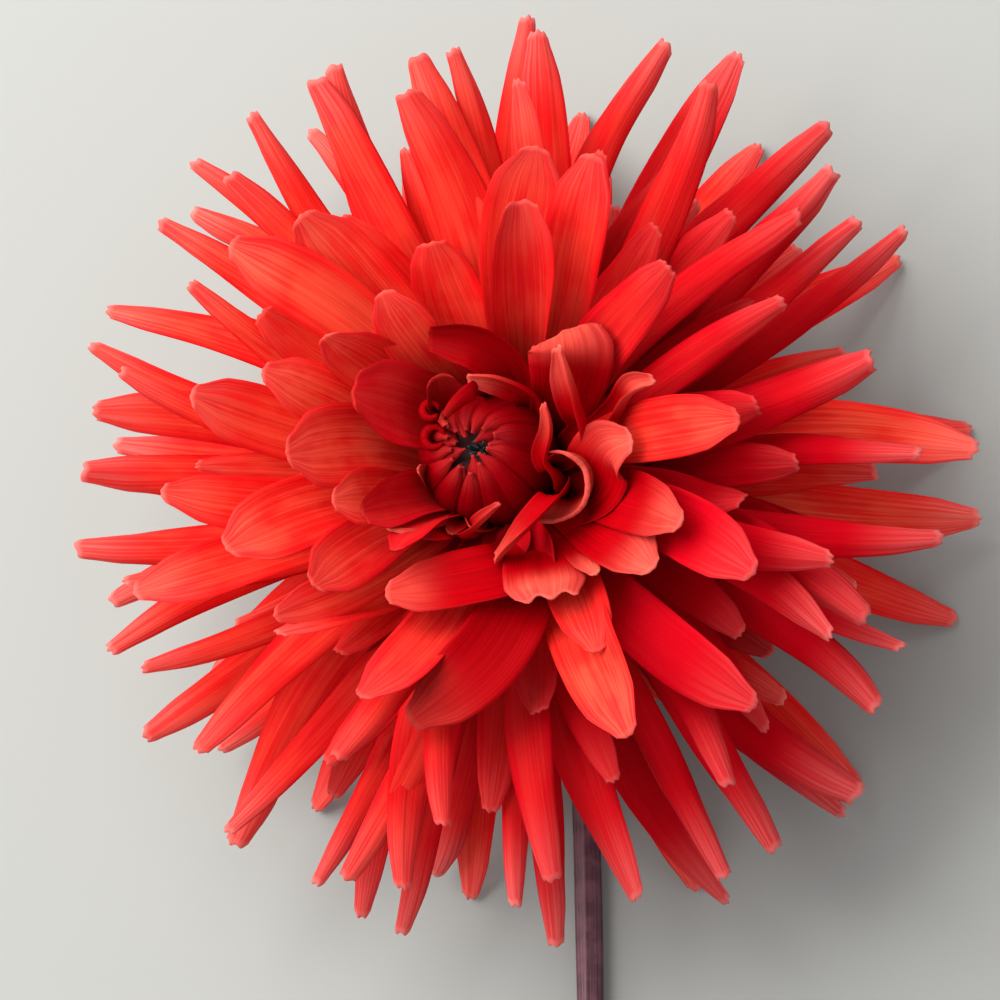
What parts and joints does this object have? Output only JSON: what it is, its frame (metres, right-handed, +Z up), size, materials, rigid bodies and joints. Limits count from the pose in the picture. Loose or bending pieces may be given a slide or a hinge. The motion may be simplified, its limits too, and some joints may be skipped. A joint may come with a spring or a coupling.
{
  "type": "dahlia flower",
  "caption": "Cut semi-cactus dahlia bloom lying on its back, with narrow rolled florets round a closed centre and a bent round stem.",
  "frame": {"origin": "bottom centre of the whole object's box, on the surface that the flower lies on", "axes": "+Z up along the flower's axis, out of its open face; the stem lies towards -Y"},
  "size_m": [0.1436, 0.22, 0.0679],
  "materials": {
    "florets": "satin, thin and slightly see-through, with fine lengthwise veins",
    "young_florets": "satin, dark crimson",
    "receptacle": "matte, fleshy",
    "green_bract": "matte leaf",
    "papery_bract": "matte, dry and thin",
    "stem": "satin, with fine lengthwise ribs"
  },
  "bodies": {
    "root": {"closed_centre": "young_florets", "floret_under_01": "florets", "floret_under_02": "florets", "floret_under_03": "florets", "floret_under_04": "florets", "floret_under_05": "florets", "floret_under_06": "florets", "floret_under_07": "florets", "floret_under_08": "florets", "floret_under_09": "florets", "floret_under_10": "florets", "floret_under_11": "florets", "floret_under_12": "florets", "floret_under_13": "florets", "floret_whorl1_01": "florets", "floret_whorl1_02": "florets", "floret_whorl1_03": "florets", "floret_whorl1_04": "florets", "floret_whorl1_05": "florets", "floret_whorl1_06": "florets", "floret_whorl2_01": "florets", "floret_whorl2_02": "florets", "floret_whorl2_03": "florets", "floret_whorl2_04": "florets", "floret_whorl2_05": "florets", "floret_whorl2_06": "florets", "floret_whorl2_07": "florets", "floret_whorl2_08": "florets", "floret_whorl2_09": "florets", "floret_whorl2_10": "florets", "floret_whorl2_11": "florets", "floret_whorl3_01": "florets", "floret_whorl3_02": "florets", "floret_whorl3_03": "florets", "floret_whorl3_04": "florets", "floret_whorl3_05": "florets", "floret_whorl3_06": "florets", "floret_whorl3_07": "florets", "floret_whorl4_01": "florets", "floret_whorl4_02": "florets", "floret_whorl4_03": "florets", "floret_whorl4_04": "florets", "floret_whorl4_05": "florets", "floret_whorl5_01": "florets", "floret_whorl5_02": "florets", "floret_whorl5_03": "florets", "floret_whorl5_04": "florets", "floret_whorl5_05": "florets", "floret_whorl6_01": "florets", "floret_whorl6_02": "florets", "inner_bracts": "papery_bract", "outer_bract_1": "green_bract", "outer_bract_2": "green_bract", "outer_bract_3": "green_bract", "outer_bract_4": "green_bract", "outer_bract_5": "green_bract", "receptacle": "receptacle", "stem": "stem"}
  },
  "joints": []
}
